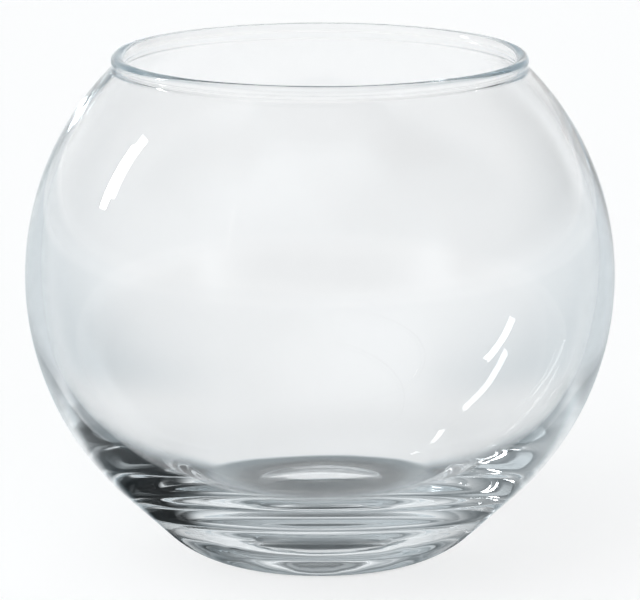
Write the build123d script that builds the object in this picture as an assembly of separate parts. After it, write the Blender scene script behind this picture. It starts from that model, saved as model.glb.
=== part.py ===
from build123d import *
import os
from math import acos, asin, atan, atan2, cos, degrees, hypot, radians, sin, sqrt

# Rose bowl vase: a ball of clear glass with a wide mouth, a fire-polished lip and a heavy base.
#
# Millimetres. +Z is up and is the axis of the vase. The origin is the centre of the standing plane.
# The vase is one piece of glass, so the model is one solid: a closed half section turned about Z.
# The section is a chain of lines and tangent arcs. It runs from the underside up the outside, over
# the lip, and down the inside to the middle of the floor.

# Outside of the body
BODY_DIAMETER = 152.0    # the ball, at its equator
FLANK_ANGLE = 42.5       # slope of the straight flank under the ball, from level, in degrees
HEEL_RADIUS = 27.0       # rounding from the flank into the standing ring
FOOT_DIAMETER = 43.0     # outer edge of the flat standing ring
RING_WIDTH = 3.0         # width of the flat that touches the table
PUNT_DEPTH = 1.8         # hollow of the underside at its middle

# Mouth and lip
MOUTH_DIAMETER = 100.4   # clear opening inside the lip
LIP_THICKNESS = 3.3      # full round of the fire-polished lip
LIP_RISE = 2.1           # middle of the lip above the level where the ball would reach its outer edge
COLLAR_FILLET = 1.5      # hollow between the ball and the lip, outside

# Inside
WALL = 3.6               # glass of the ball, at its equator
RIM_WALL = 2.2           # glass of the ball, under the collar
BASE_THICKNESS = 13.5    # lowest ring of the floor above the standing plane
FLOOR_DIAMETER = 26.0    # lowest ring of the floor
FLOOR_CROWN = 0.6        # middle of the floor above its lowest ring

ball = BODY_DIAMETER / 2
foot = FOOT_DIAMETER / 2
slope = radians(FLANK_ANGLE)
mouth = MOUTH_DIAMETER / 2
lip = LIP_THICKNESS / 2
inner_ball = ball - WALL
floor = FLOOR_DIAMETER / 2

# The ball rests on the flank, which the heel and the standing ring place, so they give its height.
centre_height = HEEL_RADIUS + (ball - HEEL_RADIUS - foot * sin(slope)) / cos(slope)

# Above the ball's centre: its ring under the lip's outer edge, and the middle of the lip's round.
edge_radius = mouth + LIP_THICKNESS
edge_rise = sqrt(ball**2 - edge_radius**2)
lip_radius = mouth + lip
lip_rise = edge_rise + LIP_RISE

# The inner ball sits higher than the outer one, so that the wall thins towards that ring.
inner_lift = edge_rise - sqrt((inner_ball + RIM_WALL) ** 2 - edge_radius**2)


def underside():
    """The hollow of the underside and the flat standing ring, from the axis outwards."""
    hollow_radius = foot - RING_WIDTH
    hollow_sphere = (hollow_radius**2 + PUNT_DEPTH**2) / (2 * PUNT_DEPTH)
    hollow_turn = degrees(asin(hollow_radius / hollow_sphere))
    hollow = JernArc((0, PUNT_DEPTH), (1, 0), hollow_sphere, -hollow_turn)
    return Line(hollow @ 1, (foot, 0))


def body(standing_ring):
    """Heel, straight flank and ball, up to the collar, and the slope at which the ball ends."""
    heel = JernArc(standing_ring @ 1, standing_ring % 1, HEEL_RADIUS, FLANK_ANGLE)
    flank_length = ((ball - HEEL_RADIUS) * sin(slope) - foot) / cos(slope)
    flank = PolarLine(heel @ 1, flank_length, direction=heel % 1)

    # The collar's hollow touches the ball and the lip, so its middle lies at a known distance from
    # the middle of each. The slope of the ball is also the angle at its centre, up from the foot.
    lip_reach = hypot(lip_radius, lip_rise)
    collar_reach = ball + COLLAR_FILLET
    collar_to_lip = lip + COLLAR_FILLET
    cosine = (lip_reach**2 + collar_reach**2 - collar_to_lip**2) / (2 * lip_reach * collar_reach)
    end_slope = atan2(lip_radius, -lip_rise) - acos(cosine)
    return JernArc(flank @ 1, flank % 1, ball, degrees(end_slope - slope)), end_slope


def collar_and_lip(shell, end_slope):
    """Hollow collar under the lip, and the lip's round over to the inside of the mouth."""
    collar_radius = (ball + COLLAR_FILLET) * sin(end_slope)
    collar_rise = -(ball + COLLAR_FILLET) * cos(end_slope)
    lip_start = degrees(atan2(collar_rise - lip_rise, collar_radius - lip_radius))
    collar = JernArc(shell @ 1, shell % 1, COLLAR_FILLET, lip_start + 90 - degrees(end_slope))
    return JernArc(collar @ 1, collar % 1, lip, 180 - lip_start)


def inside(lip_round):
    """Straight land of the mouth, shoulder, inner ball, corner and crowned floor, to the axis."""
    shoulder_rise = sqrt((inner_ball + lip) ** 2 - lip_radius**2)
    shoulder_turn = degrees(atan2(shoulder_rise, lip_radius))
    land_length = lip_rise - inner_lift - shoulder_rise
    land = PolarLine(lip_round @ 1, land_length, direction=lip_round % 1)
    shoulder = JernArc(land @ 1, land % 1, lip, shoulder_turn)

    # The corner touches the inner ball, and is level at the lowest ring of the floor.
    floor_drop = centre_height + inner_lift - BASE_THICKNESS
    corner_radius = (inner_ball**2 - floor**2 - floor_drop**2) / (2 * (inner_ball - floor_drop))
    corner_turn = degrees(atan2(floor, floor_drop - corner_radius))
    wall = JernArc(shoulder @ 1, shoulder % 1, inner_ball, corner_turn - 90 - shoulder_turn)

    # Past that ring the floor climbs to the crown, turning up and back to level by the same angle.
    crown_turn = 2 * atan(FLOOR_CROWN / floor)
    crown_sphere = floor / sin(crown_turn) - corner_radius
    corner = JernArc(wall @ 1, wall % 1, corner_radius, -corner_turn - degrees(crown_turn))
    return JernArc(corner @ 1, corner % 1, crown_sphere, degrees(crown_turn))


def glass_bowl():
    """The whole vase: its half section, turned about the axis."""
    with BuildPart() as vase:
        with BuildSketch(Plane.XZ):
            with BuildLine():
                standing_ring = underside()
                shell, end_slope = body(standing_ring)
                lip_round = collar_and_lip(shell, end_slope)
                floor_crown = inside(lip_round)
                Line(floor_crown @ 1, (0, PUNT_DEPTH))
            make_face()
        revolve(axis=Axis.Z)
    return vase.part


os.makedirs("parts", exist_ok=True)
bowl = glass_bowl()
export_step(bowl, "parts/glass_bowl.step")
box = bowl.bounding_box()
print(f"glass_bowl {box.size.X:.2f} x {box.size.Y:.2f} x {box.size.Z:.2f} mm, {bowl.volume / 1000:.1f} cm3")
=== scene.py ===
"""Looks of the rose bowl vase: one piece of clear glass on a white studio floor.

Metres, in the frame of the CAD part: +Z up along the axis of the vase, the floor at Z = 0.
"""

from math import acos, asin, atan, atan2, ceil, cos, hypot, pi, radians, sin, sqrt, tan

import bpy
from mathutils import Euler, Matrix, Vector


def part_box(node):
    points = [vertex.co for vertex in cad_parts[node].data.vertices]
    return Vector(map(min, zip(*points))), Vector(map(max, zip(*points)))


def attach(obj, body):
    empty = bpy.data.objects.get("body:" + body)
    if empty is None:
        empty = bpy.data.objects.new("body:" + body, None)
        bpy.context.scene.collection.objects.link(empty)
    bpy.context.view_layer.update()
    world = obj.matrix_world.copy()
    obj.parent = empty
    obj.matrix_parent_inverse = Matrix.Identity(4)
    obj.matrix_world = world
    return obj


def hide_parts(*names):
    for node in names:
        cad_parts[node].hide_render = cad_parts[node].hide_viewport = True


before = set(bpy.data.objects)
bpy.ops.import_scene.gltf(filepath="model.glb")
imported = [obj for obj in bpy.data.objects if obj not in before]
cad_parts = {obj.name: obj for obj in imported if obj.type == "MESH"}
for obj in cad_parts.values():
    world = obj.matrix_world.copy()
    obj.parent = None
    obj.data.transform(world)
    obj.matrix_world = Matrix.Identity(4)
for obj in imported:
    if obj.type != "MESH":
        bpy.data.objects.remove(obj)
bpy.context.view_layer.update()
NODE = "glass_bowl"
MM = 0.001

# Sizes of the glass that the frame's box doesn't give
FLANK_SLOPE = radians(42.5)      # straight flank under the ball, from level
HEEL_RADIUS = 27.0 * MM          # rounding from the flank into the standing ring
FOOT_RADIUS = 21.5 * MM          # outer edge of the standing ring
RING_WIDTH = 3.0 * MM            # flat that touches the floor
PUNT_DEPTH = 1.8 * MM            # hollow of the underside
MOUTH_RADIUS = 50.2 * MM         # clear opening inside the lip
LIP_RADIUS = 1.65 * MM           # full round of the lip
COLLAR_RADIUS = 1.5 * MM         # hollow between the ball and the lip
WALL = 3.6 * MM                  # glass of the ball, at its equator
INNER_LIFT = 1.99 * MM           # inner ball above the outer one, so the wall thins towards the mouth
BASE_THICKNESS = 13.5 * MM       # lowest ring of the inside floor, above the standing plane
FLOOR_RADIUS = 13.0 * MM         # that lowest ring
FLOOR_CROWN = 0.6 * MM           # middle of the inside floor, above that ring

# Slight waves of the blown glass: turns round the axis, radians per metre of height, start and share
WAVES = ((3, 40, 0.4, 0.40), (5, -65, 1.9, 0.30), (8, 90, 4.1, 0.20), (17, -30, 2.2, 0.10))
WAVE_DEPTH = 0.09 * MM
WAVE_HEIGHT = (8.0 * MM, 60.0 * MM)    # heights between which they come in, outside
WAVE_RADIUS = 20.0 * MM          # distance from the axis by which they have come in, inside

# Glass
GLASS_INDEX = 1.5                # refractive index
TINT = (0.60, 0.78, 0.86, 1)     # faint cool tint, seen through its thickness
TINT_DENSITY = 1.8
LIGHT_BOUNCES = 256              # enough for light that runs round inside the base and the lip

# Fineness of the mesh
SEGMENTS = 224                   # round the axis
SECTION_STEP = 1.1 * MM          # along the section
TIGHT_STEP = radians(7)          # along the small rounds of the lip

# Camera, from the outline of the ball in the photograph
PHOTO_SIZE = (640, 600)          # pixels
BALL_CENTRE_PX = (319.5, 274.5)
BALL_RADIUS_PX = 295.0
CAMERA_REACH = 18.0              # distance from the ball's centre, in radii of the ball
CAMERA_ELEVATION = radians(11.4)
SENSOR = 36.0                    # millimetres, across the picture

# Floor
FLOOR_HALF = 20.0
FLOOR_DROP = 0.10 * MM           # under the standing ring, so that their faces don't share a plane
FLOOR_WHITE = 0.98
FLOOR_COLOUR = (FLOOR_WHITE, FLOOR_WHITE, FLOOR_WHITE, 1)

# Surround: elevation in degrees and brightness
SKY = ((0, 0.98), (6, 0.90), (14, 0.75), (25, 0.56), (45, 0.27), (65, 0.10), (90, 0.10))
SKY_TINT = (0.86, 0.95, 1.0)
SKY_TINT_RISE = 45               # elevation from which the tint is full
# Soft patches of it, in degrees: azimuth from +Y to +X, elevation, inner and outer reach; brightness left
PATCHES = (
    (86, 20, 32, 47, 0.015),     # dark on the right
    (140, 50, 22, 38, 0.08),     # dark above that, towards the front
    (-85, 15, 20, 50, 0.60),     # dim on the left
    (180, 10, 18, 48, 0.40),     # dim in front, where the camera stands
)
SIDE_RISE = 8                    # elevation by which these patches have come in, above the horizon
SOFT_BOX = (206, 60, 10, 43, 0.75)    # written as the patches are, with the brightness that it adds

# Key light: wide and soft, from above the camera
KEY_STRENGTH = 2.50
KEY_ANGLE = radians(80)
KEY_TILT = (radians(30), radians(-8), 0)
FOOT_SHADE_RADIUS = 26.0 * MM    # the thick foot, which the key light doesn't get through
FOOT_SHADE_HEIGHT = 5.0 * MM

# Apron that only the glass shows, with a painted shadow under the foot and painted dark reflections round
# it. Angles are degrees from +Y, behind the vase.
APRON_DROP = 0.05 * MM
APRON_FOOT_SHADOW = 0.28                # painted shadow under the foot
APRON_EDGE = (32.0 * MM, 36.0 * MM)    # radii between which the painted foot shadow goes over to the inner part
APRON_WHITE = 0.95               # level behind the vase
APRON_OPEN = (55, 85)            # angles between which the inner part goes from that white to black
APRON_REFLECTED_BLACK = 0.03               # painted dark reflection beside the foot
APRON_SIDES = (62.0 * MM, 95.0 * MM)   # radii between which that black goes over to a mid grey
APRON_MID = 0.50
APRON_FRONT = (120, 150)         # angles between which the inner part goes from black to grey
APRON_GREY = 0.70                # painted grey reflection in front, and at the sides of the outer part
APRON_FADE = (100.0 * MM, 170.0 * MM)  # radii between which the inner part goes over to the outer part
APRON_POWER = 12.5               # how fast the outer part turns from white, behind the vase, to grey
APRON_END = (2.0, 4.0)           # radii between which the outer part goes over to the floor
# Cool greys of the painted shadow and reflections, by level
APRON_SHADES = (
    (0, (0, 0, 0)),
    (0.16, (0.125, 0.162, 0.180)),
    (0.70, (0.655, 0.70, 0.725)),
    (FLOOR_WHITE, FLOOR_COLOUR[:3]),
)

# Strip light on the left
STRIP_REACH = 4.0                # from the ball's centre
STRIP_TURN = radians(12.5)       # behind the left side
STRIP_RISE = radians(23.5)
STRIP_LEAN = radians(10)         # its top leans back
STRIP_SIZE = (0.30, 1.25)
STRIP_GLOW = 25.0                # radiance

low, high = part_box(NODE)
ball = (high.x - low.x) / 2
ball_height = HEEL_RADIUS + (ball - HEEL_RADIUS - FOOT_RADIUS * sin(FLANK_SLOPE)) / cos(FLANK_SLOPE)
lip = (MOUTH_RADIUS + LIP_RADIUS, high.z - LIP_RADIUS)


def arc(centre, radius, start, stop, step):
    """Points of an arc from one angle to another, without the first. Angle 0 points outwards."""
    count = max(2, ceil(abs(stop - start) / step))
    angles = [start + (stop - start) * i / count for i in range(1, count + 1)]
    return [(centre[0] + radius * cos(a), centre[1] + radius * sin(a)) for a in angles]


def line(start, stop):
    """Points of a straight run, without the first."""
    count = max(2, ceil(hypot(stop[0] - start[0], stop[1] - start[1]) / SECTION_STEP))
    steps = [i / count for i in range(1, count + 1)]
    return [(start[0] + (stop[0] - start[0]) * t, start[1] + (stop[1] - start[1]) * t) for t in steps]


def outside_section():
    """Underside, heel, flank, ball and collar, from the axis to the foot of the lip."""
    hollow = FOOT_RADIUS - RING_WIDTH
    hollow_sphere = (hollow**2 + PUNT_DEPTH**2) / (2 * PUNT_DEPTH)
    hollow_end = pi / 2 - asin(hollow / hollow_sphere)
    hollow_centre = (0, PUNT_DEPTH - hollow_sphere)
    points = [(0.0, PUNT_DEPTH)]
    points += arc(hollow_centre, hollow_sphere, pi / 2, hollow_end, SECTION_STEP / hollow_sphere)
    points += line(points[-1], (FOOT_RADIUS, 0.0))
    heel_end = FLANK_SLOPE - pi / 2
    points += arc((FOOT_RADIUS, HEEL_RADIUS), HEEL_RADIUS, -pi / 2, heel_end, SECTION_STEP / HEEL_RADIUS)
    points += line(points[-1], (ball * sin(FLANK_SLOPE), ball_height - ball * cos(FLANK_SLOPE)))

    # The collar's hollow touches both the ball and the lip.
    lip_reach = hypot(lip[0], lip[1] - ball_height)
    collar_reach = ball + COLLAR_RADIUS
    touch = LIP_RADIUS + COLLAR_RADIUS
    spread = acos((lip_reach**2 + collar_reach**2 - touch**2) / (2 * lip_reach * collar_reach))
    ball_end = atan2(lip[1] - ball_height, lip[0]) - spread
    collar = (collar_reach * cos(ball_end), ball_height + collar_reach * sin(ball_end))
    lip_start = atan2(collar[1] - lip[1], collar[0] - lip[0])
    points += arc((0, ball_height), ball, heel_end, ball_end, SECTION_STEP / ball)
    points += arc(collar, COLLAR_RADIUS, ball_end + pi, lip_start + pi, TIGHT_STEP)
    return points, lip_start


def inside_section(lip_start):
    """Lip, straight land, shoulder, inner ball, corner and crowned floor, to the axis."""
    inner = ball - WALL
    inner_height = ball_height + INNER_LIFT
    shoulder_rise = sqrt((inner + LIP_RADIUS) ** 2 - lip[0] ** 2)
    shoulder = (lip[0], inner_height + shoulder_rise)
    shoulder_turn = atan2(shoulder_rise, lip[0])
    points = arc(lip, LIP_RADIUS, lip_start, pi, TIGHT_STEP)
    points += line(points[-1], (MOUTH_RADIUS, shoulder[1]))
    points += arc(shoulder, LIP_RADIUS, pi, pi + shoulder_turn, TIGHT_STEP)

    # The corner touches the inner ball and is level at the lowest ring of the floor.
    drop = inner_height - BASE_THICKNESS
    corner_radius = (inner**2 - FLOOR_RADIUS**2 - drop**2) / (2 * (inner - drop))
    corner = (FLOOR_RADIUS, BASE_THICKNESS + corner_radius)
    corner_start = atan2(FLOOR_RADIUS, drop - corner_radius) - pi / 2
    crown_turn = 2 * atan(FLOOR_CROWN / FLOOR_RADIUS)
    crown_sphere = FLOOR_RADIUS / sin(crown_turn) - corner_radius
    crown = (0, BASE_THICKNESS + FLOOR_CROWN - crown_sphere)
    points += arc((0, inner_height), inner, shoulder_turn, corner_start, SECTION_STEP / inner)
    points += arc(corner, corner_radius, corner_start, -pi / 2 - crown_turn, SECTION_STEP / corner_radius)
    points += arc(crown, crown_sphere, pi / 2 - crown_turn, pi / 2, SECTION_STEP / crown_sphere)
    return points


def wave(angle, height):
    """The waves at one place of the glass, from -1 to 1."""
    return sum(share * sin(turns * angle + rate * height + start) for turns, rate, start, share in WAVES)


def wavy_ring(before, point, after, depth):
    """A point of the section turned about Z, with slight waves along its normal."""
    run, rise = after[0] - before[0], after[1] - before[1]
    slant = depth / hypot(run, rise)
    ring = []
    for k in range(SEGMENTS):
        angle = 2 * pi * k / SEGMENTS
        push = slant * wave(angle, point[1])
        radius = point[0] + push * rise
        ring.append((radius * cos(angle), radius * sin(angle), point[1] - push * run))
    return ring


def lathe(name, section, outer_count):
    """A closed smooth mesh: the half section turned about Z, with one vertex at each end on the axis.

    The first points of the section, outer_count of them, are the outside.
    """
    rings = section[1:-1]
    verts = [(0, 0, section[0][1])]
    calm, wavy = WAVE_HEIGHT
    for i, point in enumerate(rings, 1):
        share = (point[1] - calm) / (wavy - calm) if i < outer_count else point[0] / WAVE_RADIUS
        depth = WAVE_DEPTH * max(0, min(1, share))
        verts += wavy_ring(section[i - 1], point, section[i + 1], depth)
    verts.append((0, 0, section[-1][1]))
    top = len(verts) - 1
    last = 1 + (len(rings) - 1) * SEGMENTS
    faces = []
    for k in range(SEGMENTS):
        after = (k + 1) % SEGMENTS
        faces.append((0, 1 + after, 1 + k))
        for start in range(1, last, SEGMENTS):
            faces.append((start + k, start + after, start + SEGMENTS + after, start + SEGMENTS + k))
        faces.append((top, last + k, last + after))
    mesh = bpy.data.meshes.new(name)
    mesh.from_pydata(verts, [], faces)
    mesh.shade_smooth()
    obj = bpy.data.objects.new(name, mesh)
    bpy.context.scene.collection.objects.link(obj)
    return obj


def new_material(name):
    """An empty node material and its output node."""
    material = bpy.data.materials.new(name)
    material.use_nodes = True
    material.node_tree.nodes.clear()
    return material, material.node_tree.nodes.new("ShaderNodeOutputMaterial")


def clear_glass():
    """Clear soda-lime glass with a faint cool tint through its thickness."""
    material, output = new_material("clear_glass")
    tree = material.node_tree
    glass = tree.nodes.new("ShaderNodeBsdfPrincipled")
    glass.inputs["Base Color"].default_value = (1, 1, 1, 1)
    glass.inputs["Roughness"].default_value = 0.0
    glass.inputs["IOR"].default_value = GLASS_INDEX
    glass.inputs["Transmission Weight"].default_value = 1.0
    tint = tree.nodes.new("ShaderNodeVolumeAbsorption")
    tint.inputs["Color"].default_value = TINT
    tint.inputs["Density"].default_value = TINT_DENSITY
    tree.links.new(glass.outputs[0], output.inputs["Surface"])
    tree.links.new(tint.outputs[0], output.inputs["Volume"])
    return material


def matt(name, colour):
    """Plain matt material, its shader and its node tree."""
    material, output = new_material(name)
    tree = material.node_tree
    shader = tree.nodes.new("ShaderNodeBsdfDiffuse")
    shader.inputs["Color"].default_value = colour
    tree.links.new(shader.outputs[0], output.inputs["Surface"])
    return material, shader, tree


def make_floor():
    """Level white floor that fills the view."""
    mesh = bpy.data.meshes.new("studio_floor")
    ends = ((-1, -1), (1, -1), (1, 1), (-1, 1))
    mesh.from_pydata([(x * FLOOR_HALF, y * FLOOR_HALF, -FLOOR_DROP) for x, y in ends], [], [(0, 1, 2, 3)])
    mesh.materials.append(matt("floor_white", FLOOR_COLOUR)[0])
    floor = bpy.data.objects.new("studio_floor", mesh)
    bpy.context.scene.collection.objects.link(floor)


def blend(tree, value, start, stop, first=0.0, last=1.0):
    """A smooth change from one level to another while a value goes from start to stop."""
    node = tree.nodes.new("ShaderNodeMapRange")
    node.interpolation_type = "SMOOTHSTEP"
    for name, number in (("From Min", start), ("From Max", stop), ("To Min", first), ("To Max", last)):
        node.inputs[name].default_value = number
    tree.links.new(value, node.inputs["Value"])
    return node.outputs[0]


def constant(tree, number):
    """A fixed level."""
    node = tree.nodes.new("ShaderNodeValue")
    node.outputs[0].default_value = number
    return node.outputs[0]


def combine(tree, operation, first, second):
    """Two levels combined by a math operation."""
    node = tree.nodes.new("ShaderNodeMath")
    node.operation = operation
    tree.links.new(first, node.inputs[0])
    tree.links.new(second, node.inputs[1])
    return node.outputs[0]


def mixed(tree, share, first, second):
    """A level between two others."""
    node = tree.nodes.new("ShaderNodeMix")
    tree.links.new(share, node.inputs["Factor"])
    tree.links.new(first, node.inputs["A"])
    tree.links.new(second, node.inputs["B"])
    return node.outputs["Result"]


def ramped(tree, value, stops, interpolation="LINEAR"):
    """Colours along a ramp: places from 0 to 1, each with its colour."""
    node = tree.nodes.new("ShaderNodeValToRGB")
    ramp = node.color_ramp
    ramp.interpolation = interpolation
    while len(ramp.elements) < len(stops):
        ramp.elements.new(0.5)
    for element, (place, colour) in zip(ramp.elements, stops):
        element.position = place
        element.color = (*colour, 1)
    tree.links.new(value, node.inputs[0])
    return node.outputs["Color"]


def vector(tree, operation, value, other=(0, 0, 0)):
    """Result of a vector operation; its second vector is a constant."""
    node = tree.nodes.new("ShaderNodeVectorMath")
    node.operation = operation
    node.inputs[1].default_value = other
    tree.links.new(value, node.inputs[0])
    return node.outputs["Value" if operation in ("DOT_PRODUCT", "LENGTH") else "Vector"]


def lobe(tree, where, azimuth, elevation, inner, outer, level, outside=1.0):
    """A soft round patch of the surround: one level inside it, and another outside."""
    turn, rise = radians(azimuth), radians(elevation)
    middle = (sin(turn) * cos(rise), cos(turn) * cos(rise), sin(rise))
    nearness = vector(tree, "DOT_PRODUCT", where, middle)
    return blend(tree, nearness, cos(radians(outer)), cos(radians(inner)), outside, level)


def make_surround():
    """Soft studio surround: white at the horizon, dim overhead, dark on the right and pale on the left."""
    world = bpy.data.worlds.new("studio_surround")
    world.use_nodes = True
    bpy.context.scene.world = world
    tree = world.node_tree
    tree.nodes.clear()
    output = tree.nodes.new("ShaderNodeOutputWorld")
    back = tree.nodes.new("ShaderNodeBackground")
    where = tree.nodes.new("ShaderNodeTexCoord").outputs["Generated"]
    stops = []
    for elevation, level in SKY:
        share = min(1, elevation / SKY_TINT_RISE)
        stops.append((sin(radians(elevation)), [level * (1 - share + share * c) for c in SKY_TINT]))
    height = vector(tree, "DOT_PRODUCT", where, (0, 0, 1))
    tree.links.new(ramped(tree, height, stops, "B_SPLINE"), back.inputs["Color"])
    sides = lobe(tree, where, *PATCHES[0])
    for patch in PATCHES[1:]:
        sides = combine(tree, "MULTIPLY", sides, lobe(tree, where, *patch))
    horizon = blend(tree, height, 0, sin(radians(SIDE_RISE)), 1, 0)
    tree.links.new(combine(tree, "MAXIMUM", sides, horizon), back.inputs["Strength"])
    box = tree.nodes.new("ShaderNodeBackground")
    tree.links.new(lobe(tree, where, *SOFT_BOX, outside=0.0), box.inputs["Strength"])
    both = tree.nodes.new("ShaderNodeAddShader")
    tree.links.new(back.outputs[0], both.inputs[0])
    tree.links.new(box.outputs[0], both.inputs[1])
    tree.links.new(both.outputs[0], output.inputs["Surface"])


def apron_painted_shade(tree, where):
    """Painted shadow under the foot, white behind the vase, painted reflections black beside the foot and
    grey farther out and in front.
    """
    reach = vector(tree, "LENGTH", where)
    behind = vector(tree, "DOT_PRODUCT", vector(tree, "NORMALIZE", where), (0, 1, 0))
    white, black = (cos(radians(angle)) for angle in APRON_OPEN)
    side_end, front = (cos(radians(angle)) for angle in APRON_FRONT)
    # Painted dark reflections: white behind the vase, black beside the foot, grey in front.
    inner = blend(tree, behind, black, white, APRON_REFLECTED_BLACK, APRON_WHITE)
    inner = combine(tree, "MAXIMUM", inner, blend(tree, behind, front, side_end, APRON_GREY, APRON_REFLECTED_BLACK))
    rear = combine(tree, "MAXIMUM", behind, constant(tree, 0))
    steep = combine(tree, "POWER", rear, constant(tree, APRON_POWER))
    outer = blend(tree, steep, 0, 1, APRON_GREY, APRON_WHITE)
    level = mixed(tree, blend(tree, reach, *APRON_FADE), inner, outer)
    level = combine(tree, "MAXIMUM", level, blend(tree, reach, *APRON_SIDES, APRON_REFLECTED_BLACK, APRON_MID))
    # Painted shadow under the foot, out to APRON_EDGE.
    level = mixed(tree, blend(tree, reach, *APRON_EDGE), constant(tree, APRON_FOOT_SHADOW), level)
    level = mixed(tree, blend(tree, reach, *APRON_END), level, constant(tree, FLOOR_WHITE))
    return ramped(tree, level, APRON_SHADES)


def make_disc(name, radius, height):
    """A level round face about the axis."""
    turns = [2 * pi * k / SEGMENTS for k in range(SEGMENTS)]
    ring = [(radius * cos(t), radius * sin(t), height) for t in turns]
    mesh = bpy.data.meshes.new(name)
    mesh.from_pydata(ring, [], [tuple(range(SEGMENTS))])
    disc = bpy.data.objects.new(name, mesh)
    bpy.context.scene.collection.objects.link(disc)
    return disc


def make_painted_shade_apron():
    """Apron round the foot, hidden from the camera: its painted shadow and painted dark reflections give
    the clear glass its dark edges.
    """
    material, shader, tree = matt("painted_shade_apron", FLOOR_COLOUR)
    where = tree.nodes.new("ShaderNodeTexCoord").outputs["Object"]
    tree.links.new(apron_painted_shade(tree, where), shader.inputs["Color"])
    # Hidden from camera, diffuse and shadow rays, so only the glass shows its painted shadow and
    # reflections.
    painted_shade_apron = make_disc("painted_shade_apron", APRON_END[1], -APRON_DROP)
    painted_shade_apron.data.materials.append(material)
    painted_shade_apron.visible_camera = False
    painted_shade_apron.visible_diffuse = False
    painted_shade_apron.visible_shadow = False


def foot_shade():
    """A disc in the thick foot, for the light that the foot holds back. Only shadows show it."""
    disc = make_disc("foot_shade", FOOT_SHADE_RADIUS, FOOT_SHADE_HEIGHT)
    disc.visible_camera = False
    disc.visible_diffuse = False
    disc.visible_glossy = False
    disc.visible_transmission = False
    return disc


def make_key_light():
    """Wide soft light from above the camera. It gets through the thin wall, but not through the foot."""
    key = bpy.data.lights.new("soft_key", "SUN")
    key.energy = KEY_STRENGTH
    key.angle = KEY_ANGLE
    lamp = bpy.data.objects.new("soft_key", key)
    lamp.rotation_euler = KEY_TILT
    lamp.visible_glossy = False
    lamp.visible_transmission = False
    bpy.context.scene.collection.objects.link(lamp)
    blockers = bpy.data.collections.new("key_blockers")
    blockers.objects.link(foot_shade())
    lamp.light_linking.blocker_collection = blockers


def make_strip_light():
    """Slim strip light far out on the left, turned to the ball."""
    strip = bpy.data.lights.new("strip_light", "AREA")
    strip.shape = "RECTANGLE"
    strip.size, strip.size_y = STRIP_SIZE
    strip.energy = STRIP_GLOW * pi * strip.size * strip.size_y
    lamp = bpy.data.objects.new("strip_light", strip)
    aside = STRIP_REACH * cos(STRIP_RISE)
    lamp.location = (
        -aside * cos(STRIP_TURN),
        aside * sin(STRIP_TURN),
        ball_height + STRIP_REACH * sin(STRIP_RISE),
    )
    facing = Euler((pi / 2 - STRIP_RISE, 0, -pi / 2 - STRIP_TURN)).to_matrix()
    lamp.rotation_euler = (facing @ Matrix.Rotation(STRIP_LEAN, 3, "Z")).to_euler()
    lamp.visible_camera = False
    lamp.visible_diffuse = False
    bpy.context.scene.collection.objects.link(lamp)


def make_camera():
    """Long lens at the photograph's angle, with the ball where the photograph has it."""
    reach = CAMERA_REACH * ball
    focal_px = BALL_RADIUS_PX / tan(asin(1 / CAMERA_REACH))
    pitch = atan((PHOTO_SIZE[1] / 2 - BALL_CENTRE_PX[1]) / focal_px)
    camera = bpy.data.cameras.new("camera")
    camera.sensor_fit = "HORIZONTAL"
    camera.sensor_width = SENSOR
    camera.lens = focal_px * SENSOR / PHOTO_SIZE[0]
    camera.clip_end = 4 * FLOOR_HALF
    obj = bpy.data.objects.new("camera", camera)
    obj.location = (0, -reach * cos(CAMERA_ELEVATION), ball_height + reach * sin(CAMERA_ELEVATION))
    obj.rotation_euler = (pi / 2 - CAMERA_ELEVATION - pitch, 0, 0)
    bpy.context.scene.collection.objects.link(obj)
    bpy.context.scene.camera = obj


def set_light_paths():
    """Bounces of the light, and the plain view transform."""
    cycles = bpy.context.scene.cycles
    cycles.max_bounces = LIGHT_BOUNCES
    cycles.glossy_bounces = LIGHT_BOUNCES
    cycles.transmission_bounces = LIGHT_BOUNCES
    bpy.context.scene.view_settings.view_transform = "Standard"


outside, lip_foot = outside_section()
bowl = lathe("glass_bowl_clear", outside + inside_section(lip_foot), len(outside))
bowl.data.materials.append(clear_glass())
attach(bowl, "root")
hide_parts(NODE)

make_floor()
make_surround()
make_painted_shade_apron()
make_key_light()
make_strip_light()
make_camera()
set_light_paths()
